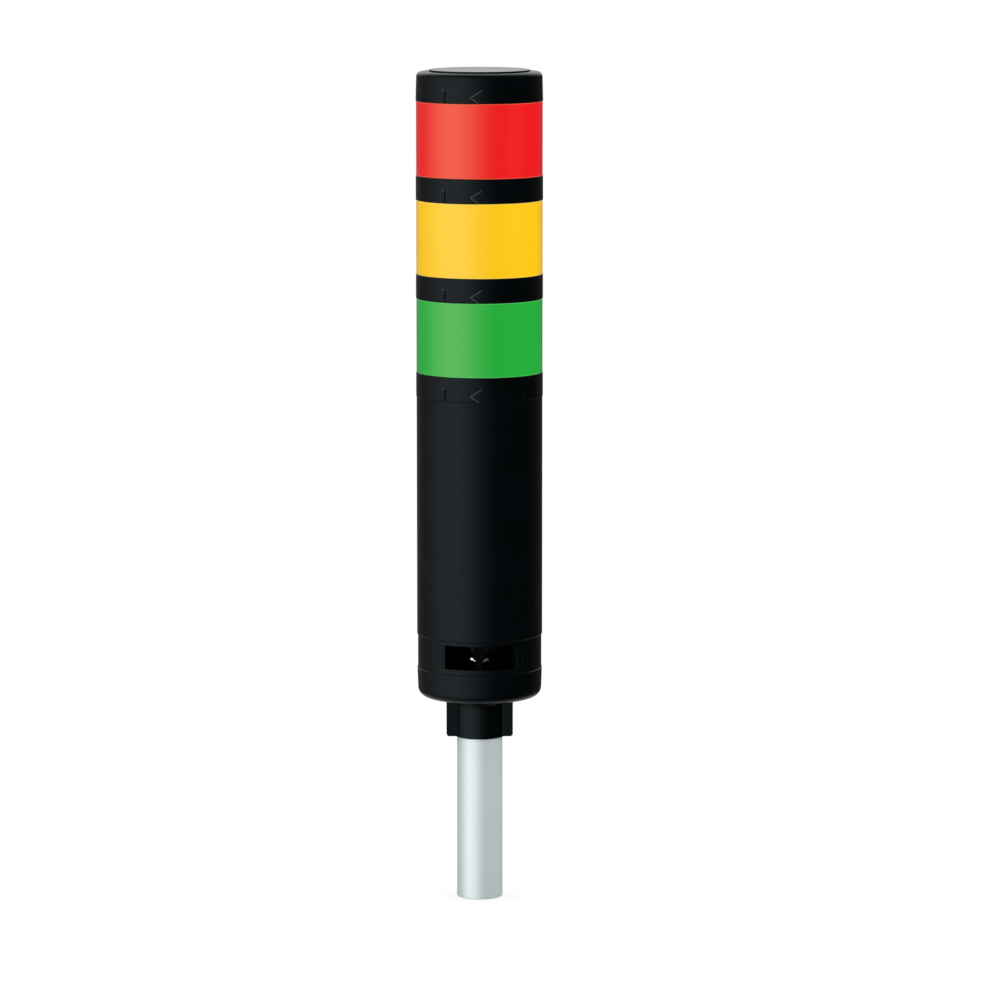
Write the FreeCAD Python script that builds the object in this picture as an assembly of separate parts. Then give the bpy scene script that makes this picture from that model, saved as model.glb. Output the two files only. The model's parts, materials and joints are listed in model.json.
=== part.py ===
import FreeCAD, Part
import math
import os

# Stack light on a pole: three coloured light tiers and a cap over a sounder body.
# The origin is the centre of the pole's lower end, +Z runs up the pole and -Y is the front.
# Every angle is measured about +Z from the front, positive towards +X.

# ---- driving dimensions (mm) ----

# pole
pole_r = 10.85
pole_wall = 1.8
pole_len = 100.0
pole_seat_depth = 22.0
pole_seat_step = 0.35
pole_chamfer = 0.5

# tower shells: every round piece steps in from the collars
collar_r = 30.0
shell_step = 0.2
ring_step = 0.4
dish_step = 0.1
neck_step = 3.5
shell_wall = 2.2
edge_bevel = 0.4

# heights
socket_drop = 19.6
dish_h = 14.2
ring_h = 15.6
body_h = 114.2
collar_h = 11.5
lens_h = 35.0
cap_h = 13.7
cap_disc_h = 0.9

# clearances
slide_gap = 0.1
body_gap = 0.3
screw_gap = 0.15

# twist lock between one tier and the next
twist_deg = 27.0
lug_count = 3
lug_first_deg = 60.0
lug_half_deg = 7.0
lug_h = 2.2
lug_low = 2.3
lug_depth = 1.1
neck_h = 6.6
neck_wall = 2.7
neck_ledge_w = 1.6
neck_chamfer = 0.4
neck_skirt_h = 9.0
neck_floor_t = 2.0
seal_r = 0.5

# inner boards
board_t = 1.6
contact_disc_top = 4.5
floor_low = 7.0
floor_t = 1.8
board_seat_h = 0.6
board_seat_w = 2.0
board_edge_gap = 0.4
skirt_h = 1.9
skirt_w = 1.2
skirt_root_h = 1.0
led_count = 12
led_edge_gap = 5.0
led_w = 3.5
led_h = 1.2
diffuser_edge_gap = 2.5
diffuser_waist = 1.5
diffuser_wall = 1.5
riser_w = 14.0
pin_r = 1.2
pin_count = 5
pin_edge_gap = 3.5
pin_tip_share = 0.6
pin_shoulder_h = 0.6
track_gap = 1.0
track_depth = 0.2

# cap
cap_corner_r = 2.3
cap_draft = 0.35
cap_rim_w = 6.2
cap_top_t = 2.4
cap_dome = 0.4
cap_top_step = 0.1
cap_inner_slope = 1.0

# mounting bracket: a dish under the sound ring and a socket for the pole
dish_wall = 2.9
dish_floor = 4.0
dish_draft = 0.5
dish_rim_bevel = 0.3
dish_corner_r = 4.6
socket_wall = 1.1
socket_boss_h = 4.0
socket_flare_h = 4.3
socket_flare_r = 14.0
socket_groove_h = 0.6
socket_groove_depth = 0.5
cable_hole_r = 6.4
bush_wall = 1.6
bush_flange_t = 1.4
ear_reach = 15.85
ear_w = 9.5
ear_lift = 1.6
ear_corner_r = 1.4

# fasteners
pole_screw_r = 2.0
pole_screw_hex = 2.0
pole_screw_recess = 0.25
pole_screw_hex_depth = 1.8
pole_nut_w = 7.0
pole_nut_t = 2.4
pole_nut_wall = 1.1
dish_screw_r = 1.5
dish_screw_head_r = 2.75
dish_screw_head_h = 2.0
dish_screw_len = 12.0
dish_screw_hex = 2.5
dish_screw_edge_gap = 1.2
dish_screw_end_gap = 0.3
dish_screw_count = 3
dish_screw_boss_r = 3.5
dish_seal_w = 1.4
dish_seal_t = 0.8

# sound ring, the floor that clamps it to the dish, and the duct that takes the wires through
ring_flange_t = 1.2
ring_flange_w = 2.3
chamber_floor_t = 1.3
window_half_w = 16.3
window_low = 2.5
window_h = 11.4
window_corner_r = 0.6
mullion_top_half_w = 4.0
mullion_waist_half_w = 2.9
mullion_stem_half_w = 1.4
mullion_foot_half_w = 1.9
mullion_waist_h = 5.4
mullion_slope_h = 1.2
mullion_inset = 0.5
ring_ledge_w = 3.2
ring_ledge_t = 1.6
ring_ledge_slope = 1.0
ring_spigot_h = 4.0
ring_spigot_wall = 1.9
ring_lip_h = 2.0
ring_lip_wall = 1.6
flute_edge_deg = 2.3
flute_pitch_deg = 6.5
flute_count = 3
flute_r = 1.2
flute_depth = 0.35
duct_r = 3.9
duct_wall = 1.0
duct_side_gap = 0.4
duct_end = 1.0
duct_flange_w = 1.1
duct_flange_t = 0.8
duct_deg = 115.0
clip_half_w = 4.3
clip_drop = 1.2
clip_end_t = 0.3
clip_depth = 2.8

# sounder
horn_plate_t = 1.8
horn_hole_r = 7.0
sounder_duct_gap = 0.2
sounder_h = 13.0
sounder_port_r = 3.0
sounder_cup_wall = 1.5
sounder_cup_h = 6.0
sounder_edge_r = 1.0

# main board and terminal block
main_board_side_gap = 1.1
main_board_low = 22.0
main_board_h = 80.0
guide_w = 1.6
guide_reach = 3.6
terminal_count = 8
terminal_pitch = 5.0
terminal_end_w = 1.5
terminal_depth = 10.0
terminal_h = 14.0
terminal_lift = 5.0
terminal_wire_r = 1.6
terminal_screw_r = 1.7
terminal_screw_h = 1.4
terminal_screw_sink = 1.0
terminal_slot_w = 0.6
terminal_slot_depth = 0.6
terminal_chamfer = 2.5

# ---- places worked out from the driving dimensions ----

lens_r = collar_r - shell_step
body_r = collar_r - shell_step
ring_r = body_r - ring_step
dish_r = body_r - dish_step
neck_r = lens_r - neck_step
cap_disc_r = collar_r - cap_rim_w

pole_bore_r = pole_r - pole_wall
seat_r = pole_r - pole_seat_step
socket_z = pole_len - pole_seat_depth
dish_z = socket_z + socket_drop
ring_z = dish_z + dish_h
body_z = ring_z + ring_h
first_tier_z = body_z + body_h
tier_h = collar_h + lens_h
tier_names = ["green", "yellow", "red"]
cap_z = first_tier_z + tier_h * len(tier_names)

socket_bore_r = seat_r + slide_gap
socket_r = socket_bore_r + socket_wall
dish_inner_r = dish_r - dish_wall
tube_inner_r = body_r - shell_wall
ring_inner_r = ring_r - shell_wall
ring_flange_r = ring_inner_r - ring_flange_w
ring_ledge_r = ring_inner_r - ring_ledge_w
chamber_z = ring_z + ring_flange_t
dish_screw_circle_r = ring_flange_r - dish_screw_edge_gap - dish_screw_boss_r
duct_circle_r = ring_ledge_r - duct_side_gap - duct_r
sounder_cup_r = duct_circle_r - duct_r - sounder_duct_gap
sounder_r = sounder_cup_r - sounder_cup_wall - slide_gap
flute_first_deg = math.degrees(math.asin(window_half_w / ring_r)) + flute_edge_deg
main_board_w = 2.0 * (tube_inner_r - main_board_side_gap)
collar_inner_r = neck_r + 2.0 * seal_r + slide_gap + body_gap
neck_inner_r = neck_r - neck_wall
neck_hole_r = neck_inner_r - neck_ledge_w
lug_inner_r = neck_r - lug_depth
slot_floor_r = lug_inner_r - body_gap
contact_disc_r = neck_inner_r - slide_gap
board_r = collar_inner_r - slide_gap - skirt_w - board_edge_gap
diffuser_r = board_r - diffuser_edge_gap - diffuser_wall
led_ring_r = diffuser_r - led_edge_gap
pin_pitch = (contact_disc_r - pin_edge_gap) / pin_count
board_low = floor_low + floor_t + board_seat_h
board_top = board_low + board_t

UP = FreeCAD.Vector(0, 0, 1)
CENTRE = FreeCAD.Vector(0, 0, 0)
parts = {}


# ---- small helpers ----

def around(radius, degrees, z=0.0):
    """A point at a radius and an angle from the front."""
    angle = math.radians(degrees)
    return FreeCAD.Vector(radius * math.sin(angle), -radius * math.cos(angle), z)


def cylinder(radius, low, high, centre=CENTRE):
    base = FreeCAD.Vector(centre.x, centre.y, low)
    return Part.makeCylinder(radius, high - low, base, UP)


def tube(outer_r, inner_r, low, high):
    return cylinder(outer_r, low, high).cut(cylinder(inner_r, low, high))


def block(x0, x1, y0, y1, z0, z1):
    return Part.makeBox(x1 - x0, y1 - y0, z1 - z0, FreeCAD.Vector(x0, y0, z0))


def turned(points):
    """A solid of revolution from (radius, z) points, in order round its half section."""
    corners = [FreeCAD.Vector(radius, 0, z) for radius, z in points]
    outline = Part.makePolygon(corners + [corners[0]])
    return Part.Face(outline).revolve(CENTRE, UP, 360)


def sector(inner_r, outer_r, low, high, from_deg, to_deg):
    """A block of a ring between two angles."""
    face_corners = [around(inner_r, from_deg, low), around(outer_r, from_deg, low),
                    around(outer_r, from_deg, high), around(inner_r, from_deg, high)]
    face = Part.Face(Part.makePolygon(face_corners + [face_corners[0]]))
    return face.revolve(CENTRE, UP, to_deg - from_deg)


def hexagon(across_flats, low, high, centre=CENTRE):
    corner_r = across_flats / math.sqrt(3.0)
    corners = [centre + around(corner_r, 60.0 * i, low) for i in range(7)]
    return Part.Face(Part.makePolygon(corners)).extrude(UP * (high - low))


def union(shapes):
    return shapes[0].fuse(shapes[1:]).removeSplitter() if len(shapes) > 1 else shapes[0]


def circle_edges_at(shape, radius, z):
    """The full round edges of one radius at one height."""
    found = []
    for edge in shape.Edges:
        is_round = isinstance(edge.Curve, Part.Circle)
        if is_round and abs(edge.Curve.Radius - radius) < 1e-4 and abs(edge.Curve.Center.z - z) < 1e-4:
            found.append(edge)
    return found


# ---- twist lock ----

def neck_section(z, outside):
    """Half section of a neck from its hole up, joined to the points outside it."""
    ledge_top = z + contact_disc_top - board_t
    return [
        (neck_hole_r, ledge_top),
        (neck_inner_r, ledge_top),
        (neck_inner_r, z + neck_h),
        (neck_r - neck_chamfer, z + neck_h),
        (neck_r, z + neck_h - neck_chamfer),
        (neck_r, z),
    ] + outside


def cut_bayonet_slots(neck, z):
    """L-shaped slots: a drop-in way at the unlocked angle, then a level run to the locked one."""
    slots = []
    gap_deg = math.degrees(body_gap / neck_r)
    slot_low = z + lug_low - slide_gap
    slot_high = z + lug_low + lug_h + slide_gap
    for i in range(lug_count):
        locked = lug_first_deg + i * 360.0 / lug_count
        start = locked - lug_half_deg - gap_deg
        end = locked + twist_deg + lug_half_deg + gap_deg
        way_in = locked + twist_deg - lug_half_deg - gap_deg
        outside_r = neck_r + body_gap
        slots.append(sector(slot_floor_r, outside_r, slot_low, slot_high, start, end))
        slots.append(sector(slot_floor_r, outside_r, slot_low, z + neck_h + body_gap, way_in, end))
    return neck.cut(slots)


def add_lugs(shell, z):
    """Lugs inside a collar or the cap that turn under the neck's slots."""
    lugs = []
    for i in range(lug_count):
        middle = lug_first_deg + i * 360.0 / lug_count
        root_r = collar_inner_r + 0.5 * shell_wall
        lugs.append(sector(lug_inner_r, root_r, z + lug_low, z + lug_low + lug_h,
                           middle - lug_half_deg, middle + lug_half_deg))
    return union([shell] + lugs)


def neck_seal(z):
    middle_r = neck_r + seal_r + 0.5 * slide_gap
    return Part.makeTorus(middle_r, seal_r, FreeCAD.Vector(0, 0, z + seal_r))


def contact_disc(z):
    """Round board with a ring track for each spring pin, lying on the neck's ledge."""
    top = z + contact_disc_top
    disc = cylinder(contact_disc_r, top - board_t, top)
    for i in range(pin_count - 1):
        between = (i + 1.5) * pin_pitch
        disc = disc.cut(tube(between + 0.5 * track_gap, between - 0.5 * track_gap, top - track_depth, top))
    return disc


# ---- base: pole, bracket, sound ring, body ----

def make_pole():
    top = pole_len
    return turned([
        (pole_bore_r, 0.0),
        (pole_r - pole_chamfer, 0.0),
        (pole_r, pole_chamfer),
        (pole_r, socket_z),
        (seat_r, socket_z),
        (seat_r, top - pole_chamfer),
        (seat_r - pole_chamfer, top),
        (pole_bore_r, top),
    ])


def make_bracket():
    """Dish and pole socket, moulded as one piece."""
    outer = turned([
        (0.0, dish_z),
        (dish_r - dish_draft, dish_z),
        (dish_r, ring_z - dish_rim_bevel),
        (dish_r - dish_rim_bevel, ring_z),
        (0.0, ring_z),
    ])
    outer = outer.makeFillet(dish_corner_r, circle_edges_at(outer, dish_r - dish_draft, dish_z))
    floor_top = dish_z + dish_floor
    bracket = outer.cut(cylinder(dish_inner_r, floor_top, ring_z))
    bracket = bracket.cut(cylinder(dish_inner_r + dish_seal_w, ring_z - dish_seal_t, ring_z))
    groove_low = dish_z - socket_flare_h
    groove_high = groove_low + socket_groove_h
    groove_r = socket_r - socket_groove_depth
    socket = turned([
        (0.0, socket_z),
        (socket_r, socket_z),
        (socket_r, groove_low),
        (groove_r, groove_low),
        (groove_r, groove_high),
        (socket_r, groove_high),
        (socket_flare_r, dish_z),
        (socket_flare_r, floor_top),
        (socket_r, floor_top),
        (socket_r, floor_top + socket_boss_h),
        (0.0, floor_top + socket_boss_h),
    ])
    ear_low = socket_z + ear_lift
    ears = block(-ear_reach, ear_reach, -0.5 * ear_w, 0.5 * ear_w, ear_low, floor_top)
    ear_corners = [edge for edge in ears.Edges
                   if abs(edge.CenterOfMass.z - ear_low) < 1e-6
                   and abs(abs(edge.CenterOfMass.x) - ear_reach) < 1e-6]
    ears = ears.makeFillet(ear_corner_r, ear_corners)
    bracket = union([bracket, socket, ears])
    cuts = [
        cylinder(socket_bore_r, socket_z, pole_len + slide_gap),
        cylinder(cable_hole_r, pole_len, floor_top + socket_boss_h),
    ]
    for side in (-1, 1):
        cuts.append(pole_screw_way(side))
        cuts.append(nut_pocket(side))
    for i in range(dish_screw_count):
        centre = dish_screw_place(i)
        cuts.append(cylinder(dish_screw_r + screw_gap, dish_z, floor_top, centre))
        cuts.append(cylinder(dish_screw_head_r + screw_gap, dish_z,
                             dish_z + dish_screw_head_h + slide_gap, centre))
    return bracket.cut(cuts)


def screw_height():
    return 0.5 * (socket_z + ear_lift + dish_z - socket_flare_h)


def nut_inner_x():
    return ear_reach - pole_nut_wall - pole_nut_t - slide_gap


def pole_screw_way(side):
    start = FreeCAD.Vector(0, 0, screw_height())
    return Part.makeCylinder(pole_screw_r + slide_gap, ear_reach + 1.0, start, FreeCAD.Vector(side, 0, 0))


def nut_pocket(side):
    half = 0.5 * pole_nut_w + slide_gap
    inner = nut_inner_x() - slide_gap
    outer = ear_reach - pole_nut_wall
    low = screw_height() - half
    pocket = block(inner, outer, -half, ear_w, low, low + 2.0 * half)
    return pocket if side > 0 else pocket.mirror(CENTRE, FreeCAD.Vector(1, 0, 0))


def make_pole_nuts():
    nuts = []
    half = 0.5 * pole_nut_w
    low = screw_height() - half
    for side in (-1, 1):
        nut = block(nut_inner_x(), nut_inner_x() + pole_nut_t, -half, half, low, low + pole_nut_w)
        if side < 0:
            nut = nut.mirror(CENTRE, FreeCAD.Vector(1, 0, 0))
        nuts.append(nut.cut(pole_screw_way(side)))
    return nuts


def make_pole_screws():
    """Socket set screws that press on the pole's turned seat."""
    screws = []
    inner = seat_r + 0.5 * slide_gap
    length = ear_reach - pole_screw_recess - inner
    for side in (-1, 1):
        axis = FreeCAD.Vector(side, 0, 0)
        body = Part.makeCylinder(pole_screw_r, length, CENTRE, UP)
        body = body.cut(hexagon(pole_screw_hex, length - pole_screw_hex_depth, length))
        body.Placement = FreeCAD.Placement(axis * inner + UP * screw_height(), FreeCAD.Rotation(UP, axis))
        screws.append(body)
    return screws


def make_cable_bush():
    """Rubber bush in the hole above the pole, its flange lying on the socket's boss."""
    top = dish_z + dish_floor + socket_boss_h
    flange_r = cable_hole_r + bush_wall
    inner_r = cable_hole_r - bush_wall
    outer_r = cable_hole_r - slide_gap
    bevel = 0.5 * bush_flange_t
    return turned([
        (inner_r, pole_len + slide_gap),
        (outer_r, pole_len + slide_gap),
        (outer_r, top),
        (flange_r, top),
        (flange_r, top + bush_flange_t - bevel),
        (flange_r - bevel, top + bush_flange_t),
        (inner_r, top + bush_flange_t),
    ])


def dish_screw_place(i):
    return around(dish_screw_circle_r, 60.0 + i * 360.0 / dish_screw_count)


def make_dish_screws():
    screws = []
    shank_low = dish_z + dish_screw_head_h
    for i in range(dish_screw_count):
        centre = dish_screw_place(i)
        head = cylinder(dish_screw_head_r, dish_z, shank_low, centre)
        shank = cylinder(dish_screw_r, shank_low, shank_low + dish_screw_len, centre)
        recess = hexagon(dish_screw_hex, dish_z, dish_z + 0.6 * dish_screw_head_h, centre)
        screws.append(head.fuse(shank).cut(recess))
    return screws


def make_dish_seal():
    outer = dish_inner_r + dish_seal_w - slide_gap
    inner = dish_inner_r + slide_gap
    return tube(outer, inner, ring_z - dish_seal_t, ring_z)


def make_sound_ring():
    """Open-fronted wall of the sound chamber with its window bar and flutes, in one moulding."""
    top = ring_z + ring_h
    ledge_low = top - ring_ledge_t
    spigot_r = tube_inner_r - slide_gap
    lip_r = dish_inner_r - slide_gap
    ring = turned([
        (ring_flange_r, chamber_z),
        (ring_flange_r, ring_z - ring_lip_h),
        (lip_r, ring_z - ring_lip_h),
        (lip_r, ring_z),
        (ring_r, ring_z),
        (ring_r, top),
        (spigot_r, top),
        (spigot_r, top + ring_spigot_h),
        (spigot_r - ring_spigot_wall, top + ring_spigot_h),
        (spigot_r - ring_spigot_wall, top),
        (ring_ledge_r, top),
        (ring_ledge_r, ledge_low),
        (ring_inner_r, ledge_low - ring_ledge_slope),
        (ring_inner_r, chamber_z),
    ])
    ring = union([ring.cut(window_cut()), window_bar()])
    return ring.cut(flute_cuts())


def make_chamber_floor():
    """Floor that lies on the ring's flange, with the bosses that the bracket screws pull down."""
    floor = cylinder(ring_inner_r - slide_gap, chamber_z, chamber_z + chamber_floor_t)
    boss_low = dish_z + dish_floor + slide_gap
    bosses = []
    holes = [cylinder(duct_r + slide_gap, ring_z, ring_z + ring_h, duct_centre())]
    thread_top = dish_z + dish_screw_head_h + dish_screw_len + dish_screw_end_gap
    for i in range(dish_screw_count):
        bosses.append(cylinder(dish_screw_boss_r, boss_low, chamber_z, dish_screw_place(i)))
        holes.append(cylinder(dish_screw_r, dish_z, thread_top, dish_screw_place(i)))
    return union([floor] + bosses).cut(holes)


def duct_centre():
    return around(duct_circle_r, duct_deg)


def make_wire_duct():
    """Upright tube for the wires, its flange lying on the chamber floor."""
    centre = duct_centre()
    floor_top = chamber_z + chamber_floor_t
    low = chamber_z - duct_end
    high = ring_z + ring_h + horn_plate_t + duct_end
    stem = cylinder(duct_r, low, high, centre)
    flange = cylinder(duct_r + duct_flange_w, floor_top, floor_top + duct_flange_t, centre)
    return union([stem, flange]).cut(cylinder(duct_r - duct_wall, low, high, centre))


def window_cut():
    low = ring_z + window_low
    window = block(-window_half_w, window_half_w, -ring_r - 1.0, -0.5 * ring_r, low, low + window_h)
    corners = [edge for edge in window.Edges
               if abs(abs(edge.CenterOfMass.x) - window_half_w) < 1e-6
               and abs(edge.CenterOfMass.z - low - 0.5 * window_h) > 0.4 * window_h]
    return window.makeFillet(window_corner_r, corners)


def window_bar():
    """Upright bar in the middle of the window: wide above its waist, a thin stem below."""
    low = ring_z + window_low
    high = low + window_h
    waist = low + mullion_waist_h
    half_outline = [
        (mullion_foot_half_w, low),
        (mullion_stem_half_w, low + mullion_slope_h),
        (mullion_stem_half_w, waist - mullion_slope_h),
        (mullion_waist_half_w, waist),
        (mullion_top_half_w, high),
    ]
    right = [FreeCAD.Vector(x, 0, z) for x, z in half_outline]
    left = [FreeCAD.Vector(-x, 0, z) for x, z in reversed(half_outline)]
    outline = Part.Face(Part.makePolygon(right + left + [right[0]]))
    bar = outline.extrude(FreeCAD.Vector(0, -ring_r, 0))
    return bar.common(tube(ring_r - mullion_inset, ring_inner_r - mullion_inset, low, high))


def flute_cuts():
    """Shallow upright flutes beside each end of the window."""
    flutes = []
    low = ring_z + window_low
    for side in (-1, 1):
        for i in range(flute_count):
            angle = side * (flute_first_deg + i * flute_pitch_deg)
            centre = around(ring_r + flute_r - flute_depth, angle)
            flutes.append(cylinder(flute_r, low, low + window_h, centre))
    return flutes


def make_window_clip():
    """Steel leaf hooked behind the window bar's waist: level on top, and deepest in the middle."""
    back = ring_inner_r - mullion_inset - slide_gap
    waist = ring_z + window_low + mullion_waist_h
    outline = [
        (-clip_half_w, waist),
        (clip_half_w, waist),
        (clip_half_w, waist - clip_end_t),
        (0.0, waist - clip_end_t - clip_drop),
        (-clip_half_w, waist - clip_end_t),
    ]
    corners = [FreeCAD.Vector(x, -back, z) for x, z in outline]
    leaf = Part.Face(Part.makePolygon(corners + [corners[0]]))
    leaf = leaf.extrude(FreeCAD.Vector(0, clip_depth, 0))
    return leaf.common(cylinder(back, ring_z, ring_z + ring_h))


def make_horn_plate():
    """Lid of the sound chamber, with the cup that holds the sounder."""
    low = ring_z + ring_h
    top = low + horn_plate_t
    plate_r = tube_inner_r - ring_spigot_wall - 2.0 * slide_gap
    plate = turned([
        (horn_hole_r, low),
        (plate_r, low),
        (plate_r, top),
        (sounder_cup_r, top),
        (sounder_cup_r, top + sounder_cup_h),
        (sounder_r + slide_gap, top + sounder_cup_h),
        (sounder_r + slide_gap, top),
        (horn_hole_r, top),
    ])
    return plate.cut(cylinder(duct_r + slide_gap, low, top, duct_centre()))


def make_sounder():
    low = ring_z + ring_h + horn_plate_t
    case = cylinder(sounder_r, low, low + sounder_h)
    case = case.makeFillet(sounder_edge_r, circle_edges_at(case, sounder_r, low + sounder_h))
    return case.cut(cylinder(sounder_port_r, low, low + 0.5 * sounder_h))


def make_body_tube():
    """Plain tube with two pairs of ribs inside that guide the main board."""
    low = body_z
    high = first_tier_z
    shell = turned([
        (tube_inner_r, low),
        (body_r - edge_bevel, low),
        (body_r, low + edge_bevel),
        (body_r, high),
        (tube_inner_r, high),
    ])
    ribs = []
    rib_low = low + main_board_low
    rib_high = rib_low + main_board_h
    inner_x = tube_inner_r - guide_reach
    for side in (-1, 1):
        for face in (-1, 1):
            near = 0.5 * board_t + slide_gap
            far = near + guide_w
            rib = block(inner_x, tube_inner_r + 0.5 * shell_wall, near, far, rib_low, rib_high)
            if side < 0:
                rib = rib.mirror(CENTRE, FreeCAD.Vector(1, 0, 0))
            if face < 0:
                rib = rib.mirror(CENTRE, FreeCAD.Vector(0, 1, 0))
            ribs.append(rib)
    return union([shell] + ribs)


def make_body_neck():
    """Bayonet neck pressed into the top of the body tube."""
    z = first_tier_z
    skirt_r = tube_inner_r - slide_gap
    skirt_low = z - neck_skirt_h
    floor_z = z - neck_floor_t
    neck = turned(neck_section(z, [
        (skirt_r, z),
        (skirt_r, skirt_low),
        (skirt_r - shell_wall, skirt_low),
        (skirt_r - shell_wall, floor_z),
        (neck_hole_r, floor_z),
    ]))
    return cut_bayonet_slots(neck, z)


def make_main_board():
    """Upright circuit board with a tongue that reaches the contact disc."""
    low = body_z + main_board_low
    high = low + main_board_h
    tongue_top = first_tier_z + contact_disc_top - board_t
    half_t = 0.5 * board_t
    board = block(-0.5 * main_board_w, 0.5 * main_board_w, -half_t, half_t, low, high)
    tongue = block(-0.5 * riser_w, 0.5 * riser_w, -half_t, half_t, high, tongue_top)
    return union([board, tongue])


def terminal_low():
    return body_z + main_board_low + terminal_lift


def terminal_x(i):
    return (i - 0.5 * (terminal_count - 1)) * terminal_pitch


def make_terminal_block():
    """Screw terminals: wires enter from below, the screws face the front."""
    half_w = 0.5 * terminal_count * terminal_pitch + terminal_end_w
    back = -0.5 * board_t
    front = back - terminal_depth
    low = terminal_low()
    top = low + terminal_h
    case = block(-half_w, half_w, front, back, low, top)
    case = case.makeChamfer(terminal_chamfer, [edge for edge in case.Edges
                                               if abs(edge.CenterOfMass.y - front) < 1e-6
                                               and abs(edge.CenterOfMass.z - top) < 1e-6])
    cuts = []
    for i in range(terminal_count):
        x = terminal_x(i)
        wire_way = FreeCAD.Vector(x, 0.5 * (front + back), 0)
        cuts.append(cylinder(terminal_wire_r, low, low + 0.5 * terminal_h, wire_way))
        screw_start = FreeCAD.Vector(x, front, low + 0.5 * terminal_h)
        screw_depth = terminal_screw_h + terminal_screw_sink
        cuts.append(Part.makeCylinder(terminal_screw_r + slide_gap, screw_depth, screw_start,
                                      FreeCAD.Vector(0, 1, 0)))
    return case.cut(cuts)


def make_terminal_screws():
    screws = []
    front = -0.5 * board_t - terminal_depth
    for i in range(terminal_count):
        x = terminal_x(i)
        z = terminal_low() + 0.5 * terminal_h
        bottom = FreeCAD.Vector(x, front + terminal_screw_sink + terminal_screw_h, z)
        screw = Part.makeCylinder(terminal_screw_r, terminal_screw_h, bottom, FreeCAD.Vector(0, -1, 0))
        half_slot = 0.5 * terminal_slot_w
        slot_bottom = front + terminal_screw_sink + terminal_slot_depth
        slot = block(x - terminal_screw_r, x + terminal_screw_r, front, slot_bottom,
                     z - half_slot, z + half_slot)
        screws.append(screw.cut(slot))
    return screws


# ---- light tiers ----

def make_collar(z):
    """Black ring under a lens: lugs below its floor, a seat for the light board above."""
    top = z + collar_h
    low_floor = z + floor_low
    high_floor = low_floor + floor_t
    seat_top = z + board_low
    collar = turned([
        (0.0, low_floor),
        (collar_inner_r, low_floor),
        (collar_inner_r, z),
        (collar_r, z),
        (collar_r, top),
        (collar_inner_r, top),
        (collar_inner_r, seat_top),
        (collar_inner_r - skirt_w - board_seat_w, seat_top),
        (collar_inner_r - skirt_w - board_seat_w, high_floor),
        (0.0, high_floor),
    ])
    collar = add_lugs(collar, z)
    return collar.cut([cylinder(pin_r + 0.5 * slide_gap, low_floor, high_floor, centre)
                       for centre in pin_places()])


def pin_places():
    return [around((i + 1) * pin_pitch, 90.0) for i in range(pin_count)]


def make_spring_pins(z):
    """Contact pins from the light board down to the ring tracks of the piece below."""
    pins = []
    shoulder = z + floor_low - pin_shoulder_h
    for centre in pin_places():
        barrel = cylinder(pin_r, shoulder, z + board_low, centre)
        plunger = cylinder(pin_tip_share * pin_r, z + contact_disc_top, shoulder, centre)
        pins.append(barrel.fuse(plunger))
    return pins


def make_lens(z):
    """Coloured shell with a skirt into its collar and a bayonet neck for the piece above."""
    low = z + collar_h
    high = z + tier_h
    shell_inner_r = lens_r - shell_wall
    skirt_r = collar_inner_r - slide_gap
    skirt_inner_r = skirt_r - skirt_w
    lens = turned(neck_section(high, [
        (lens_r - edge_bevel, high),
        (lens_r, high - edge_bevel),
        (lens_r, low),
        (skirt_r, low),
        (skirt_r, low - skirt_h),
        (skirt_inner_r, low - skirt_h),
        (skirt_inner_r, low + skirt_root_h),
        (shell_inner_r, low + skirt_root_h + shell_inner_r - skirt_inner_r),
        (shell_inner_r, high - shell_wall),
        (neck_hole_r, high - shell_wall),
    ]))
    return cut_bayonet_slots(lens, high)


def make_light_board(z):
    return cylinder(board_r, z + board_low, z + board_top)


def make_leds(z):
    leds = []
    half = 0.5 * led_w
    for i in range(led_count):
        angle = i * 360.0 / led_count
        led = block(-half, half, -led_ring_r - half, -led_ring_r + half,
                    z + board_top, z + board_top + led_h)
        led.rotate(CENTRE, UP, angle)
        leds.append(led)
    return leds


def make_diffuser(z):
    """Clear waisted tube that spreads the light behind the lens."""
    low = z + board_top
    high = z + tier_h - shell_wall
    middle = 0.5 * (low + high)
    top_r = diffuser_r + diffuser_wall
    waist_r = diffuser_r - diffuser_waist
    outer = [(top_r, low), (waist_r + diffuser_wall, middle), (top_r, high)]
    inner = [(diffuser_r, high), (waist_r, middle), (diffuser_r, low)]
    return turned(outer + inner)


def make_riser_board(z):
    """Upright board from the light board to the contact disc at the top of the tier."""
    half_w = 0.5 * riser_w
    half_t = 0.5 * board_t
    top = z + tier_h + contact_disc_top - board_t
    return block(-half_w, half_w, -half_t, half_t, z + board_top, top)


def make_cap():
    """Closed cap with a rounded shoulder, a shallow raised disc on top and lugs inside."""
    z = cap_z
    top = z + cap_h
    dome_top = top + cap_disc_h + cap_dome
    cap = turned([
        (0.0, z),
        (collar_r, z),
        (collar_r - cap_draft, top),
        (cap_disc_r, top + cap_top_step),
        (cap_disc_r, top + cap_disc_h),
        (0.0, dome_top),
    ])
    cap = cap.makeFillet(cap_corner_r, circle_edges_at(cap, collar_r - cap_draft, top))
    cavity = turned([
        (0.0, z),
        (collar_inner_r, z),
        (collar_inner_r, top - cap_top_t - cap_inner_slope),
        (collar_inner_r - cap_inner_slope, top - cap_top_t),
        (0.0, top - cap_top_t),
    ])
    return add_lugs(cap.cut(cavity), z)


# ---- the whole light ----

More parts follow.
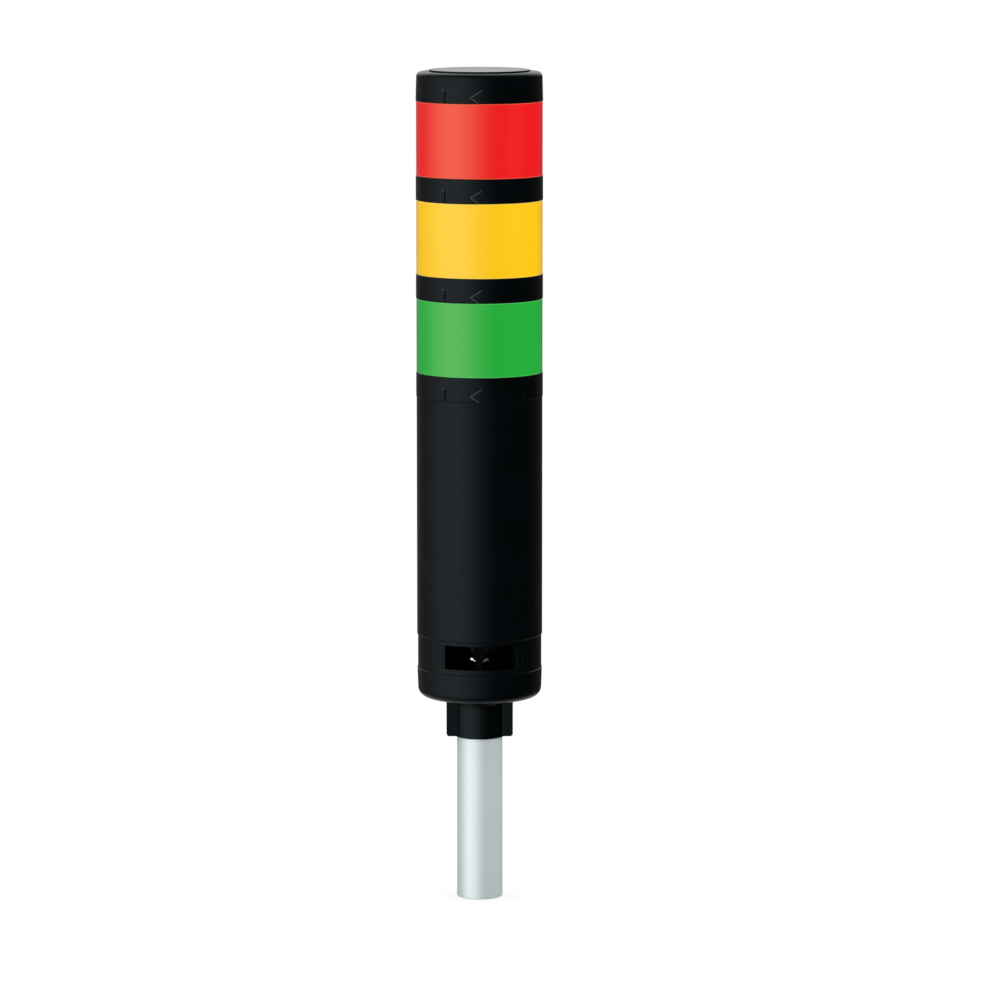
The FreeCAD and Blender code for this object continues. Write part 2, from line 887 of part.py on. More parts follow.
parts["pole"] = make_pole()
parts["mounting_bracket"] = make_bracket()
parts["pole_nuts"] = make_pole_nuts()
parts["pole_set_screws"] = make_pole_screws()
parts["cable_bush"] = make_cable_bush()
parts["bracket_screws"] = make_dish_screws()
parts["bracket_seal"] = make_dish_seal()
parts["sound_ring"] = make_sound_ring()
parts["chamber_floor"] = make_chamber_floor()
parts["wire_duct"] = make_wire_duct()
parts["window_clip"] = make_window_clip()
parts["horn_plate"] = make_horn_plate()
parts["sounder"] = make_sounder()
parts["body_tube"] = make_body_tube()
parts["body_neck"] = make_body_neck()
parts["main_board"] = make_main_board()
parts["terminal_block"] = make_terminal_block()
parts["terminal_screws"] = make_terminal_screws()
parts["body_contact_disc"] = contact_disc(first_tier_z)
parts["body_seal"] = neck_seal(first_tier_z)

for number, colour in enumerate(tier_names):
    tier_z = first_tier_z + number * tier_h
    parts[colour + "_collar"] = make_collar(tier_z)
    parts[colour + "_lens"] = make_lens(tier_z)
    parts[colour + "_light_board"] = make_light_board(tier_z)
    parts[colour + "_leds"] = make_leds(tier_z)
    parts[colour + "_diffuser"] = make_diffuser(tier_z)
    parts[colour + "_riser_board"] = make_riser_board(tier_z)
    parts[colour + "_spring_pins"] = make_spring_pins(tier_z)
    parts[colour + "_contact_disc"] = contact_disc(tier_z + tier_h)
    parts[colour + "_seal"] = neck_seal(tier_z + tier_h)

parts["cap"] = make_cap()

os.makedirs("parts", exist_ok=True)
for name, shape in parts.items():
    if isinstance(shape, list):
        shape = Part.makeCompound(shape)
    shape.exportStep("parts/" + name + ".step")
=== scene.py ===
import json
import math
import bpy
import bmesh
from mathutils import Matrix, Vector

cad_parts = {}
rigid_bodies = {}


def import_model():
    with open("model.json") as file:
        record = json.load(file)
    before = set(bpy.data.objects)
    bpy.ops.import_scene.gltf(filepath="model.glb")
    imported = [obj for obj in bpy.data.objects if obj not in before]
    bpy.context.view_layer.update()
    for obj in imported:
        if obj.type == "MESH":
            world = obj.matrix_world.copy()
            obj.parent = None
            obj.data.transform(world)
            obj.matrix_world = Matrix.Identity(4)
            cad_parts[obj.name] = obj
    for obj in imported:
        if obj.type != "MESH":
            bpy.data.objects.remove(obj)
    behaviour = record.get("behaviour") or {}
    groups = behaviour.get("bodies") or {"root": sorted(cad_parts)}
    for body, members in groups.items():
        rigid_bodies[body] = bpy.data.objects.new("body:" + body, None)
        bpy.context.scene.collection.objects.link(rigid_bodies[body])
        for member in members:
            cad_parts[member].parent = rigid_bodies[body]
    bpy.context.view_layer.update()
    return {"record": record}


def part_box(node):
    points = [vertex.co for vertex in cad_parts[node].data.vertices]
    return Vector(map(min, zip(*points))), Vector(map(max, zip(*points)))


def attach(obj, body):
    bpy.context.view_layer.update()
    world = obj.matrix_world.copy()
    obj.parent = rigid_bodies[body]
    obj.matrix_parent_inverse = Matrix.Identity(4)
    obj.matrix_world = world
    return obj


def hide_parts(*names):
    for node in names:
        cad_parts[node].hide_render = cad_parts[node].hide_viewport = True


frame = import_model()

# Stack light on a pole: red, yellow and green twist-lock tiers and a cap over a sounder body.
# The tower's axis is Z and -Y is its front. Shapes are written in millimetres and scaled once.

MM = 0.001
tier_names = ["green", "yellow", "red"]
turn_steps = 180

# shells: radii, heights and walls
collar_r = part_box("green_collar")[1].x / MM
lens_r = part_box("green_lens")[1].x / MM
collar_inner_r = 27.7
collar_h = 11.5
tier_h = 46.5
neck_r = 26.3
neck_inner_r = 23.6
neck_hole_r = 22.0
neck_h = 6.6
neck_ledge_h = 2.9
lens_wall = 2.2
lens_edge = 0.4
skirt_gap = 0.1
skirt_wall = 1.2
skirt_h = 1.9
skirt_rise = 1.0
shelf_low = 7.0
shelf_top = 8.8
shelf_rim_r = 24.5
shelf_rim_top = 9.4

# cap
cap_top_h = 1.3
cap_draft = 0.35
cap_shoulder_r = 2.3
cap_wall = 2.4
cap_inner_slope = 1.0
disc_r = 23.8
disc_foot = 0.1
disc_edge = 0.9

# pole
pole_wall = 1.8
pole_seat_step = 0.35

# bracket's ears, above the end of the socket
ear_lift = 1.6
ear_corner_r = 1.4
ear_longer = 1.3

# window bar, above the foot of the sound ring
window_low = 2.5
window_h = 11.4
bar_waist_z = 7.9
bar_top_half_w = 4.0
bar_waist_slim = 0.45
bar_stem_slim = 0.75
bar_recess = 0.5

# steel leaf behind the window bar
leaf_bow_left = 0.4
leaf_bow_right = 0.05
leaf_deeper = 0.6

# moulded marks: turn about the axis in degrees, then width and depth
bar_mark_deg = -32.3
arrow_mark_deg = -7.8
body_mark_deg = -5.1
dot_mark_deg = 44.0
bar_w = 0.7
bar_depth = 0.5
line_w = 0.55
line_depth = 0.12

# moulded marks: start and end of each arm, along the wall and up it
bar_arm = ((0.0, -0.6), (0.0, 5.9))
bar_hook_arm = ((-0.5, 6.3), (-1.6, 5.9))
arrow_arms = (((0.0, 2.9), (5.1, 6.1)), ((0.0, 2.9), (4.2, -0.2)))
body_bar_arm = ((0.0, -4.4), (0.0, 0.6))
dot_arm = ((0.0, 1.8), (0.1, 1.8))


# ---- mesh tools ----

def add_object(name, mesh):
    piece = bpy.data.objects.new(name, mesh)
    bpy.context.scene.collection.objects.link(piece)
    return piece


def object_from(name, bm):
    mesh = bpy.data.meshes.new(name)
    bm.to_mesh(mesh)
    bm.free()
    return add_object(name, mesh)


def turned(name, half_section, base_z, rims=()):
    """Turn a closed half section of (radius, height) points round the tower's axis.

    Its rims are then rounded. A rim is (radius, height, width of the rounding)."""
    bm = bmesh.new()
    ring = [bm.verts.new((radius, 0.0, base_z + height)) for radius, height in half_section]
    for start, end in zip(ring, ring[1:] + ring[:1]):
        bm.edges.new((start, end))
    bmesh.ops.spin(bm, geom=bm.verts[:] + bm.edges[:], cent=(0, 0, 0), axis=(0, 0, 1),
                   angle=2.0 * math.pi, steps=turn_steps, use_merge=True, use_duplicate=False)
    bmesh.ops.remove_doubles(bm, verts=bm.verts[:], dist=1e-4)
    bmesh.ops.dissolve_degenerate(bm, edges=bm.edges[:], dist=1e-5)
    bmesh.ops.recalc_face_normals(bm, faces=bm.faces[:])
    for radius, height, width in rims:
        round_rim(bm, radius, base_z + height, width)
    bmesh.ops.scale(bm, vec=(MM, MM, MM), verts=bm.verts[:])
    return object_from(name, bm)


def round_rim(bm, radius, height, width):
    def on_rim(vert):
        out = math.hypot(vert.co.x, vert.co.y)
        return abs(out - radius) < 1e-3 and abs(vert.co.z - height) < 1e-3
    rim = [edge for edge in bm.edges if all(on_rim(vert) for vert in edge.verts)]
    bmesh.ops.bevel(bm, geom=rim, offset=width, offset_type="OFFSET", segments=5, profile=0.5,
                    affect="EDGES", material=-1, clamp_overlap=True)


def groove_arm(arm, radius, degrees, base_z, draft=0.0, pale=True):
    """A V-shaped cutter for one arm of a mark, wrapped round the tower.

    The wall leans in by the draft for each mm up it. A pale line is shallow, and its cut faces take
    a paler colour, a painted highlight; otherwise the groove is deep and dark."""
    start, end = arm
    width, depth = (line_w, line_depth) if pale else (bar_w, bar_depth)
    run = Vector((end[0] - start[0], 0.0, end[1] - start[1]))
    middle = Vector((0.5 * (start[0] + end[0]), 0.0, 0.5 * (start[1] + end[1])))
    half_diagonal = math.sqrt(0.5)
    on_its_edge = Matrix.Rotation(math.radians(45.0), 3, "X")
    slope = Matrix.Rotation(-math.atan2(run.z, run.x), 3, "Y")
    bm = bmesh.new()
    bmesh.ops.create_cube(bm, size=1.0)
    long_edges = [e for e in bm.edges if abs(e.verts[0].co.x - e.verts[1].co.x) > 0.5]
    bmesh.ops.subdivide_edges(bm, edges=long_edges, cuts=4, use_grid_fill=True)
    bmesh.ops.rotate(bm, cent=(0, 0, 0), matrix=on_its_edge, verts=bm.verts[:])
    bmesh.ops.scale(bm, vec=(run.length + 0.5 * width, depth / half_diagonal,
                             0.5 * width / half_diagonal), verts=bm.verts[:])
    bmesh.ops.rotate(bm, cent=(0, 0, 0), matrix=slope, verts=bm.verts[:])
    bmesh.ops.translate(bm, vec=middle, verts=bm.verts[:])
    for vert in bm.verts:
        angle = math.radians(degrees) + vert.co.x / radius
        reach = radius - draft * vert.co.z - vert.co.y
        place = Vector((reach * math.sin(angle), -reach * math.cos(angle), vert.co.z + base_z))
        vert.co = place * MM
    cutter = object_from("groove_cutter", bm)
    # a shallow line's cut faces get the paler colour: a painted highlight on the groove walls
    cutter.data.materials.append(groove_highlight_paint if pale else finishes["black_plastic"])
    return cutter


def cut(piece, cutters):
    """Cut each cutter out of the piece and keep the result as its mesh."""
    for cutter in cutters:
        tool = piece.modifiers.new("cut", "BOOLEAN")
        tool.operation = "DIFFERENCE"
        tool.solver = "EXACT"
        tool.material_mode = "TRANSFER"
        tool.object = cutter
    settle(piece)
    for cutter in cutters:
        bpy.data.objects.remove(cutter, do_unlink=True)


def settle(piece):
    """Apply the piece's modifiers to its mesh."""
    graph = bpy.context.evaluated_depsgraph_get()
    mesh = bpy.data.meshes.new_from_object(piece.evaluated_get(graph))
    piece.modifiers.clear()
    piece.data = mesh


def moulded_copy(name, node, edge_w, shape=None):
    """A merged copy of a node's mesh, shaped further where asked, with rounded edges."""
    source = bpy.data.objects[node]
    bm = bmesh.new()
    bm.from_mesh(source.data)
    bmesh.ops.remove_doubles(bm, verts=bm.verts[:], dist=2e-6)
    bmesh.ops.dissolve_limit(bm, angle_limit=math.radians(0.3), use_dissolve_boundaries=False,
                             verts=bm.verts[:], edges=bm.edges[:])
    if shape:
        shape(bm)
    piece = object_from(name, bm)
    rounding = piece.modifiers.new("rounded edges", "BEVEL")
    rounding.limit_method = "ANGLE"
    rounding.angle_limit = math.radians(32.0)
    rounding.width = edge_w * MM
    rounding.segments = 3
    rounding.use_clamp_overlap = True
    return piece


def finish_piece(piece, body, slot, *nodes):
    """Smooth shading, material, and the body that carries the piece."""
    piece.data.shade_smooth()
    piece.data.set_sharp_from_angle(angle=math.radians(35.0))
    weigh = piece.modifiers.new("even shading", "WEIGHTED_NORMAL")
    weigh.keep_sharp = True
    if not piece.data.materials:
        piece.data.materials.append(finishes[slot])
    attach(piece, body)
    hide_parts(*nodes)
    return piece


# ---- finishes ----

def new_finish(name, colour, roughness, **sockets):
    material = bpy.data.materials.new(name)
    material.use_nodes = True
    shader = shader_of(material)
    shader.inputs["Base Color"].default_value = (*colour, 1.0)
    shader.inputs["Roughness"].default_value = roughness
    for socket, value in sockets.items():
        shader.inputs[socket.replace("_", " ")].default_value = value
    return material


def shader_of(material):
    return material.node_tree.nodes["Principled BSDF"]


def noise_in(material, scale, detail=3.0, stretch=(1.0, 1.0, 1.0)):
    """A noise pattern on the piece's own coordinates, stretched along an axis where asked."""
    tree = material.node_tree
    place = tree.nodes.new("ShaderNodeTexCoord")
    mapping = tree.nodes.new("ShaderNodeMapping")
    mapping.inputs["Scale"].default_value = stretch
    noise = tree.nodes.new("ShaderNodeTexNoise")
    noise.inputs["Scale"].default_value = scale
    noise.inputs["Detail"].default_value = detail
    tree.links.new(place.outputs["Object"], mapping.inputs["Vector"])
    tree.links.new(mapping.outputs["Vector"], noise.inputs["Vector"])
    return noise.outputs["Fac"]


def vary_roughness(material, pattern, low, high):
    tree = material.node_tree
    span = tree.nodes.new("ShaderNodeMapRange")
    span.inputs["From Min"].default_value = 0.3
    span.inputs["From Max"].default_value = 0.7
    span.inputs["To Min"].default_value = low
    span.inputs["To Max"].default_value = high
    tree.links.new(pattern, span.inputs["Value"])
    tree.links.new(span.outputs["Result"], shader_of(material).inputs["Roughness"])


def vary_colour(material, pattern, dark, light):
    tree = material.node_tree
    ramp = tree.nodes.new("ShaderNodeValToRGB")
    ramp.color_ramp.elements[0].position = 0.3
    ramp.color_ramp.elements[0].color = (*dark, 1.0)
    ramp.color_ramp.elements[1].position = 0.7
    ramp.color_ramp.elements[1].color = (*light, 1.0)
    tree.links.new(pattern, ramp.inputs["Fac"])
    tree.links.new(ramp.outputs["Color"], shader_of(material).inputs["Base Color"])


def add_relief(material, pattern, strength, depth_mm):
    tree = material.node_tree
    bump = tree.nodes.new("ShaderNodeBump")
    bump.inputs["Strength"].default_value = strength
    bump.inputs["Distance"].default_value = depth_mm * MM
    tree.links.new(pattern, bump.inputs["Height"])
    tree.links.new(bump.outputs["Normal"], shader_of(material).inputs["Normal"])


def moulded_black(name, rough, grain_strength, gloss=0.235):
    """Black plastic with a fine moulded grain."""
    finish = new_finish(name, (0.0010, 0.0020, 0.0028), rough, Specular_IOR_Level=gloss)
    shader_of(finish).inputs["Specular Tint"].default_value = (0.76, 0.94, 1.0, 1.0)
    cloud = noise_in(finish, scale=60.0)
    vary_roughness(finish, cloud, 0.92 * rough, 1.1 * rough)
    vary_colour(finish, cloud, dark=(0.0007, 0.0016, 0.0023), light=(0.0013, 0.0024, 0.0033))
    add_relief(finish, noise_in(finish, scale=2600.0), grain_strength, depth_mm=0.03)
    return finish


def lens_plastic(name, colour, glow):
    """Translucent moulding: part of its colour is light carried inside the wall."""
    finish = new_finish(name, colour, 0.16, Specular_IOR_Level=0.9, IOR=1.6,
                        Emission_Strength=glow)
    shader_of(finish).inputs["Specular Tint"].default_value = (0.85, 1.0, 0.6, 1.0)
    shader_of(finish).inputs["Emission Color"].default_value = (*colour, 1.0)
    flow = noise_in(finish, scale=14.0, detail=2.0, stretch=(1.0, 1.0, 0.35))
    vary_roughness(finish, flow, low=0.15, high=0.18)
    paler = [min(1.0, 1.02 * c + 0.001) for c in colour]
    deeper = [0.97 * c for c in colour]
    vary_colour(finish, flow, deeper, paler)
    add_relief(finish, noise_in(finish, scale=180.0, detail=1.0), strength=0.02, depth_mm=0.02)
    return finish


def drawn_aluminium():
    """Satin aluminium with fine lines along the pole."""
    finish = new_finish("drawn_aluminium", (0.86, 0.96, 0.99), 0.3, Metallic=0.4)
    lines = noise_in(finish, scale=2200.0, detail=4.0, stretch=(1.0, 1.0, 0.0))
    cloud = noise_in(finish, scale=45.0)
    vary_colour(finish, lines, dark=(0.84, 0.94, 0.97), light=(0.88, 0.98, 1.0))
    vary_roughness(finish, cloud, low=0.28, high=0.32)
    add_relief(finish, lines, strength=0.22, depth_mm=0.02)
    return finish


def plated_metal(name, colour, roughness):
    finish = new_finish(name, colour, roughness, Metallic=1.0)
    vary_roughness(finish, noise_in(finish, scale=900.0), 0.8 * roughness, 1.3 * roughness)
    add_relief(finish, noise_in(finish, scale=3000.0), strength=0.05, depth_mm=0.01)
    return finish


def soft_rubber():
    finish = new_finish("seal_rubber", (0.018, 0.018, 0.018), 0.7)
    vary_roughness(finish, noise_in(finish, scale=400.0), low=0.62, high=0.8)
    add_relief(finish, noise_in(finish, scale=2400.0), strength=0.2, depth_mm=0.02)
    return finish


def plain_moulding(name, colour, roughness, **sockets):
    finish = new_finish(name, colour, roughness, **sockets)
    vary_roughness(finish, noise_in(finish, scale=120.0), 0.9 * roughness, 1.15 * roughness)
    add_relief(finish, noise_in(finish, scale=1800.0), strength=0.06, depth_mm=0.02)
    return finish


def circuit_board():
    """Solder resist over copper tracks that show as a paler green."""
    finish = new_finish("circuit_board", (0.012, 0.13, 0.045), 0.35)
    tracks = noise_in(finish, scale=420.0, detail=0.0, stretch=(1.0, 0.15, 1.0))
    vary_colour(finish, tracks, dark=(0.010, 0.10, 0.035), light=(0.02, 0.19, 0.065))
    vary_roughness(finish, noise_in(finish, scale=90.0), low=0.3, high=0.42)
    return finish


lens_glow = 0.12
red = (0.80, 0.0006, 0.006)
yellow = (0.93, 0.54, 0.0006)
green = (0.012, 0.40, 0.040)
# paler lens colours for the rounded rims: painted highlights, not the plastic's own colour
rim_highlight_tints = {"red": (0.95, 0.10, 0.05), "yellow": (1.0, 0.72, 0.10), "green": (0.10, 0.62, 0.14)}
finishes = {
    "pole_aluminium": drawn_aluminium(),
    "black_plastic": moulded_black("moulded_black_plastic", 0.3, grain_strength=0.08),
    "red_lens_plastic": lens_plastic("red_lens_plastic", red, lens_glow),
    "yellow_lens_plastic": lens_plastic("yellow_lens_plastic", yellow, lens_glow),
    "green_lens_plastic": lens_plastic("green_lens_plastic", green, lens_glow),
    "clear_plastic": plain_moulding("clear_plastic", (0.85, 0.87, 0.88), 0.15,
                                    Transmission_Weight=0.6),
    "seal_rubber": soft_rubber(),
    "screw_steel": plated_metal("screw_steel", (0.46, 0.46, 0.47), 0.34),
    "clip_steel": plated_metal("clip_steel", (0.82, 0.82, 0.82), 0.2),
    "sounder_black": plain_moulding("sounder_black", (0.02, 0.02, 0.02), 0.55),
    "circuit_board": circuit_board(),
    "terminal_green": plain_moulding("terminal_green", (0.03, 0.30, 0.12), 0.45),
    "led_white": plain_moulding("led_white", (0.85, 0.78, 0.45), 0.3),
    "contact_brass": plated_metal("contact_brass", (0.75, 0.55, 0.25), 0.25),
}
# faces cut by the shallow mark lines take this paler colour: a painted highlight on the groove walls
groove_highlight_paint = new_finish("pale_mark_line", (0.036, 0.040, 0.041), 0.5)


# ---- pieces ----

def twist_marks(base_z, draft=0.0):
    """Cutters for the bar and the arrow on the lower edge of a collar or the cap."""
    bar = groove_arm(bar_arm, collar_r, bar_mark_deg, base_z, draft, pale=False)
    hook = groove_arm(bar_hook_arm, collar_r, bar_mark_deg, base_z, draft)
    arrow = [groove_arm(arm, collar_r, arrow_mark_deg, base_z, draft) for arm in arrow_arms]
    return [bar, hook, *arrow]


def make_cap():
    low, high = (corner.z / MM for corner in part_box("cap"))
    top = high - low
    shoulder = top - cap_top_h
    shoulder_r = collar_r - cap_draft
    ceiling = shoulder - cap_wall
    section = [
        (collar_inner_r, 0.0), (collar_r, 0.0), (shoulder_r, shoulder),
        (disc_r, shoulder + disc_foot), (disc_r, shoulder + disc_edge), (0.0, top),
        (0.0, ceiling), (collar_inner_r - cap_inner_slope, ceiling),
        (collar_inner_r, ceiling - cap_inner_slope),
    ]
    rims = [(collar_r, 0.0, 0.2), (shoulder_r, shoulder, cap_shoulder_r),
            (disc_r, shoulder + disc_edge, 0.2)]
    cap = turned("cap_shell", section, low, rims)
    polish_disc(cap, low + shoulder)
    cut(cap, twist_marks(low, cap_draft / shoulder))
    finish_piece(cap, "top_cap", "black_plastic", "cap")


def polish_disc(cap, shoulder_z):
    """The raised disc on top is smoother than the rest of the moulding."""
    cap.data.materials.append(finishes["black_plastic"])
    cap.data.materials.append(moulded_black("smooth_cap_disc", 0.14, grain_strength=0.02))
    lowest = shoulder_z + 0.5 * (disc_foot + disc_edge)
    for face in cap.data.polygons:
        middle = face.center / MM
        on_disc = middle.z > lowest and math.hypot(middle.x, middle.y) < disc_r
        if on_disc and face.normal.z > 0.9:
            face.material_index = 1


def make_collar(tier):
    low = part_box(tier + "_collar")[0].z / MM
    section = [
        (0.0, shelf_low), (collar_inner_r, shelf_low), (collar_inner_r, 0.0), (collar_r, 0.0),
        (collar_r, collar_h), (collar_inner_r, collar_h), (collar_inner_r, shelf_rim_top),
        (shelf_rim_r, shelf_rim_top), (shelf_rim_r, shelf_top), (0.0, shelf_top),
    ]
    rims = [(collar_r, 0.0, 0.2), (collar_r, collar_h, 0.25)]
    collar = turned(tier + "_twist_collar", section, low, rims)
    collar.data.materials.append(finishes["black_plastic"])
    marks = twist_marks(low)
    if tier == "green":
        marks.append(groove_arm(dot_arm, collar_r, dot_mark_deg, low))
    cut(collar, marks)
    finish_piece(collar, tier + "_tier", "black_plastic", tier + "_collar")


def make_lens(tier):
    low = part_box(tier + "_collar")[0].z / MM
    seam = collar_h
    high = tier_h
    roof = high - lens_wall
    ledge = high + neck_ledge_h
    neck_top = high + neck_h
    skirt_r = collar_inner_r - skirt_gap
    skirt_inner_r = skirt_r - skirt_wall
    skirt_low = seam - skirt_h
    skirt_top = seam + skirt_rise
    section = [
        (neck_hole_r, ledge), (neck_inner_r, ledge), (neck_inner_r, neck_top), (neck_r, neck_top),
        (neck_r, high), (lens_r, high), (lens_r, seam), (skirt_r, seam), (skirt_r, skirt_low),
        (skirt_inner_r, skirt_low), (skirt_inner_r, skirt_top), (skirt_r, skirt_top + skirt_wall),
        (skirt_r, roof), (neck_hole_r, roof),
    ]
    rims = [(lens_r, high, lens_edge), (lens_r, seam, lens_edge), (neck_r, neck_top, lens_edge)]
    lens = turned(tier + "_lens_shell", section, low, rims)
    paint_rim_highlights(lens, tier, (low + seam, low + high))
    finish_piece(lens, tier + "_tier", tier + "_lens_plastic", tier + "_lens")


def paint_rim_highlights(lens, tier, rim_heights):
    """The rounded rims of a translucent shell get a paler copy of its plastic: a painted highlight
    on the rims.
    """
    lens.data.materials.append(finishes[tier + "_lens_plastic"])
    lens.data.materials.append(lens_plastic(tier + "_lens_rim_highlight", rim_highlight_tints[tier], lens_glow))
    for face in lens.data.polygons:
        middle = face.center / MM
        near_rim = min(abs(middle.z - height) for height in rim_heights) < lens_edge
        if near_rim and math.hypot(middle.x, middle.y) > lens_r - lens_edge - 0.01:
            face.material_index = 1


def make_body():
    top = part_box("body_tube")[1].z / MM
    body_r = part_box("body_tube")[1].x / MM
    tube = moulded_copy("body_shell", "body_tube", 0.2)
    settle(tube)
    tube.data.materials.append(finishes["black_plastic"])
    cut(tube, [groove_arm(body_bar_arm, body_r, body_mark_deg, top, pale=False)])
    finish_piece(tube, "base", "black_plastic", "body_tube")


def make_pole():
    seat_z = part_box("mounting_bracket")[0].z / MM
    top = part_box("pole")[1].z / MM
    outer_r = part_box("pole")[1].x / MM
    bore_r = outer_r - pole_wall
    seat_r = outer_r - pole_seat_step
    section = [(bore_r, 0.0), (outer_r, 0.0), (outer_r, seat_z), (seat_r, seat_z), (seat_r, top),
               (bore_r, top)]
    rims = [(outer_r, 0.0, 0.4), (bore_r, 0.0, 0.3), (seat_r, top, 0.5)]
    pole = turned("pole_tube", section, 0.0, rims)
    finish_piece(pole, "base", "pole_aluminium", "pole")


def draw_ears_down(bm):
    """Let the bracket's ears reach nearly to the end of the socket."""
    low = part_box("mounting_bracket")[0].z / MM + ear_lift - 0.01
    high = low + ear_corner_r + 0.02
    ends = [vert for vert in bm.verts if low < vert.co.z / MM < high]
    bmesh.ops.translate(bm, vec=(0.0, 0.0, -ear_longer * MM), verts=ends)


def slim_bar(bm):
    """Narrow the window bar at its waist and along its stem."""
    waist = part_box("sound_ring")[0].z / MM + bar_waist_z
    for vert in bm.verts:
        x, y, z = vert.co / MM
        if abs(x) < 3.0 and y < 0.0 and waist - 4.5 < z < waist + 0.1:
            vert.co.x *= bar_waist_slim if z > waist - 0.1 else bar_stem_slim


def bow_leaf(bm):
    """Bow the steel leaf, so that its ends lie further back, and deepen its lower edge."""
    top = max(vert.co.z for vert in bm.verts)
    whole = bm.verts[:] + bm.edges[:] + bm.faces[:]
    bmesh.ops.bisect_plane(bm, geom=whole, dist=1e-6, plane_co=(0, 0, 0), plane_no=(1, 0, 0))
    for vert in bm.verts:
        bow = leaf_bow_left if vert.co.x < 0.0 else leaf_bow_right
        vert.co.y += bow * abs(vert.co.x)
        if vert.co.z < top - 0.1 * MM:
            vert.co.z -= leaf_deeper * MM


def shade_window_bar(ring):
    """The recessed window bar gets a matt, barely reflecting copy of the black: painted shade in its
    recess.
    """
    ring.data.materials.append(finishes["black_plastic"])
    ring.data.materials.append(moulded_black("window_bar_painted_shade", 0.6, grain_strength=0.1, gloss=0.03))
    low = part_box("sound_ring")[0].z / MM + window_low
    ring_inner_y = -20.0
    bar_front_r = collar_r - bar_recess - 0.4
    for face in ring.data.polygons:
        x, y, z = face.center / MM
        in_window = abs(x) < bar_top_half_w + 0.1 and low + 0.1 < z < low + window_h - 0.1
        if in_window and y < ring_inner_y and math.hypot(x, y) < bar_front_r:
            face.material_index = 1


def make_mouldings():
    """Sound ring, bracket and steel leaf start from the node's own shape."""
    ring = moulded_copy("ring_with_window", "sound_ring", 0.35, slim_bar)
    shade_window_bar(ring)
    finish_piece(ring, "base", "black_plastic", "sound_ring")
    bracket = moulded_copy("dish_and_socket", "mounting_bracket", 0.25, draw_ears_down)
    finish_piece(bracket, "base", "black_plastic", "mounting_bracket")
    leaf = moulded_copy("steel_window_leaf", "window_clip", 0.08, bow_leaf)
    finish_piece(leaf, "base", "clip_steel", "window_clip")


def dress_nodes():
    """Give every node that stays visible its own finish."""
    for subpart in frame["record"]["subparts"]:
        node = bpy.data.objects[subpart["node"]]
        for holder in node.material_slots:
            holder.material = finishes[subpart["material_slot"]]


make_cap()
for tier in tier_names:
    make_collar(tier)
    make_lens(tier)
make_body()
make_pole()
make_mouldings()
dress_nodes()


# ---- floor, light and camera ----

floor_lift = 0.51
matt_level = 1.05

# the studio as gloss shows it: a broad key, and glows of (heading, starts at, full at, strength)
key_heading = (-0.743, -0.669, 0.0)
key_falloff = 2.6
key_strength = 1.2
studio_dim = 0.01
glow_above_back = ((0.0, 1.0, 0.95), 0.93, 1.17, 1.0)
glow_below_back = ((0.0, 0.6, -1.0), 0.8, 1.0, 0.6)
glow_behind = ((0.0, 1.0, 0.0), 0.2, 0.9, 0.06)
glow_behind_left = ((-0.86, 0.5, 0.0), 0.2, 0.9, 0.07)

# soft lights stand upright round the tower, in metres
softbox_w = 0.8
softbox_h = 0.9
softbox_away = 1.1
softbox_z = 0.45

camera_place = (0.0097, -2.3, 0.5126)
camera_dip_deg = 7.946
camera_lens_mm = 175.9


def step_up(tree, value, start, end, height):
    """A smooth rise from 0 to a height as the value goes from start to end."""
    rise = tree.nodes.new("ShaderNodeMapRange")
    rise.interpolation_type = "SMOOTHSTEP"
    rise.inputs["From Min"].default_value = start
    rise.inputs["From Max"].default_value = end
    rise.inputs["To Min"].default_value = 0.0
    rise.inputs["To Max"].default_value = height
    tree.links.new(value, rise.inputs["Value"])
    return rise.outputs["Result"]


def maths(tree, operation, first, second):
    """One maths node between two values, each a socket or a number."""
    node = tree.nodes.new("ShaderNodeMath")
    node.operation = operation
    for value, socket in zip((first, second), node.inputs):
        if isinstance(value, (int, float)):
            socket.default_value = value
        else:
            tree.links.new(value, socket)
    return node.outputs["Value"]


def along(tree, heading, direction):
    """How far a heading points in a direction, from -1 to 1."""
    product = tree.nodes.new("ShaderNodeVectorMath")
    product.operation = "DOT_PRODUCT"
    product.inputs[1].default_value = direction
    tree.links.new(heading, product.inputs[0])
    return product.outputs["Value"]


def studio_in_gloss(tree, heading):
    """What a glossy surface shows along a heading: the broad soft key, the glows, else dim."""
    facing_key = maths(tree, "MAXIMUM", along(tree, heading, key_heading), 0.0)
    key = maths(tree, "MULTIPLY", maths(tree, "POWER", facing_key, key_falloff), key_strength)
    light = maths(tree, "ADD", key, studio_dim)
    for glow in (glow_above_back, glow_below_back, glow_behind, glow_behind_left):
        direction, start, end, strength = glow
        reach = step_up(tree, along(tree, heading, direction), start, end, strength)
        light = maths(tree, "ADD", reach, light)
    return light


def make_floor():
    """A pale floor, lifted to white for the camera away from the shadow, and left out of gloss."""
    bm = bmesh.new()
    bmesh.ops.create_circle(bm, cap_ends=True, radius=0.5, segments=96)
    floor = object_from("floor", bm)
    paper = bpy.data.materials.new("pale_floor")
    paper.use_nodes = True
    tree = paper.node_tree
    shader = shader_of(paper)
    shader.inputs["Base Color"].default_value = (0.5, 0.5, 0.5, 1.0)
    shader.inputs["Roughness"].default_value = 0.9
    shader.inputs["Specular IOR Level"].default_value = 0.0
    path = tree.nodes.new("ShaderNodeLightPath")
    lift = tree.nodes.new("ShaderNodeEmission")
    lift_seen = maths(tree, "MULTIPLY", path.outputs["Is Camera Ray"], floor_lift)
    tree.links.new(lift_seen, lift.inputs["Strength"])
    seen = tree.nodes.new("ShaderNodeAddShader")
    tree.links.new(shader.outputs["BSDF"], seen.inputs[0])
    tree.links.new(lift.outputs["Emission"], seen.inputs[1])
    tree.links.new(seen.outputs["Shader"], tree.nodes["Material Output"].inputs["Surface"])
    floor.data.materials.append(paper)
    floor.visible_glossy = False


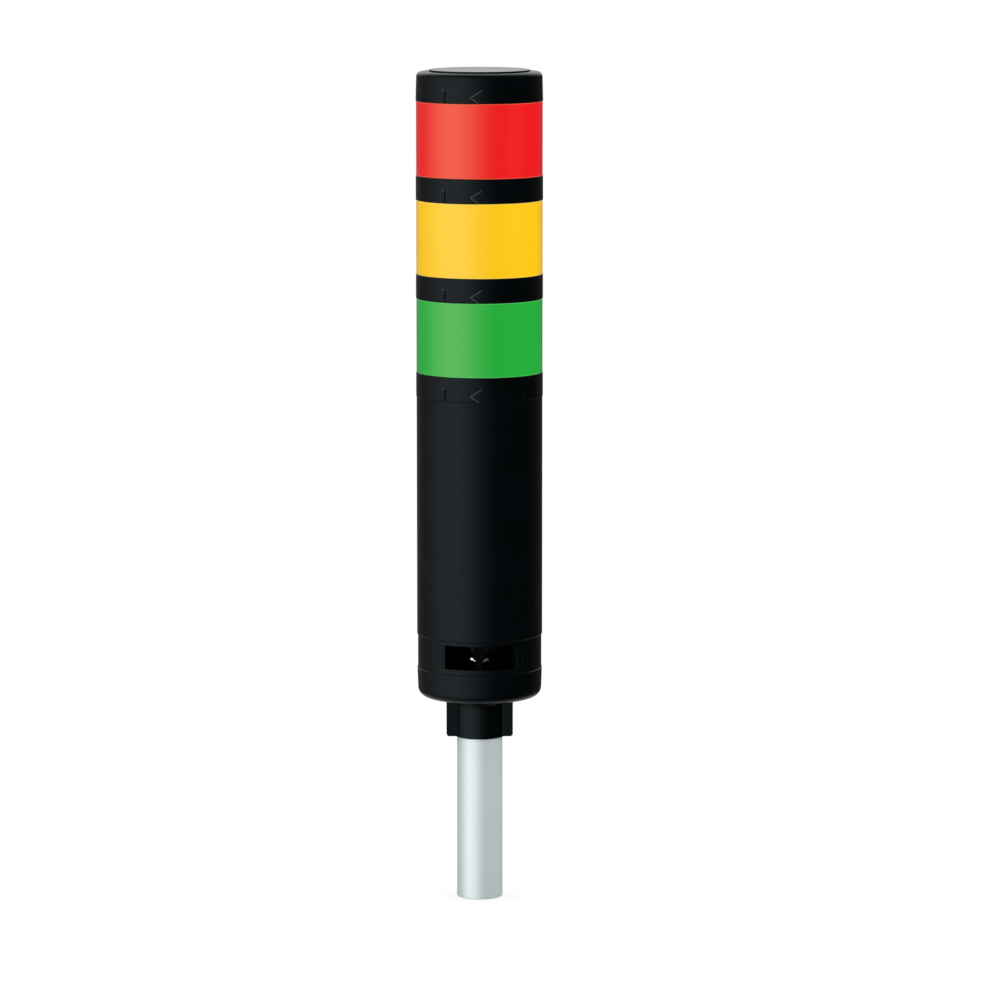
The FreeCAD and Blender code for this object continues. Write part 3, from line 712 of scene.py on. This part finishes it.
def make_surround():
    """White to the camera, even for matt surfaces, and the studio's own light in gloss."""
    world = bpy.data.worlds.new("studio")
    bpy.context.scene.world = world
    world.use_nodes = True
    tree = world.node_tree
    background = tree.nodes["Background"]
    background.inputs["Color"].default_value = (1.0, 1.0, 1.0, 1.0)
    path = tree.nodes.new("ShaderNodeLightPath")
    place = tree.nodes.new("ShaderNodeTexCoord")
    strength = studio_in_gloss(tree, place.outputs["Generated"])
    levels = (("Is Diffuse Ray", matt_level), ("Is Transmission Ray", 1.0), ("Is Camera Ray", 1.0))
    for ray, level in levels:
        blend = tree.nodes.new("ShaderNodeMix")
        blend.data_type = "FLOAT"
        blend.inputs["B"].default_value = level
        tree.links.new(path.outputs[ray], blend.inputs["Factor"])
        tree.links.new(strength, blend.inputs["A"])
        strength = blend.outputs["Result"]
    tree.links.new(strength, background.inputs["Strength"])


def softbox(name, azimuth_deg, radiance):
    """An upright soft light at an azimuth from the front, aimed level, that lights matt only."""
    lamp = bpy.data.lights.new(name, "AREA")
    lamp.shape = "RECTANGLE"
    lamp.size = softbox_w
    lamp.size_y = softbox_h
    lamp.energy = radiance * math.pi * softbox_w * softbox_h
    holder = bpy.data.objects.new(name, lamp)
    angle = math.radians(azimuth_deg)
    holder.location = (softbox_away * math.sin(angle), -softbox_away * math.cos(angle), softbox_z)
    holder.rotation_euler = (math.radians(90.0), 0.0, angle)
    holder.visible_camera = False
    holder.visible_glossy = False
    bpy.context.scene.collection.objects.link(holder)


def make_camera():
    lens = bpy.data.cameras.new("camera")
    lens.sensor_width = 36.0
    lens.lens = camera_lens_mm
    lens.clip_start = 0.05
    camera = bpy.data.objects.new("camera", lens)
    camera.location = camera_place
    camera.rotation_euler = (math.radians(90.0 - camera_dip_deg), 0.0, 0.0)
    bpy.context.scene.collection.objects.link(camera)
    bpy.context.scene.camera = camera


make_floor()
make_surround()
softbox("fill_softbox", azimuth_deg=70.0, radiance=1.0)
softbox("edge_softbox", azimuth_deg=-110.0, radiance=0.8)
make_camera()
bpy.context.scene.view_settings.view_transform = "Standard"
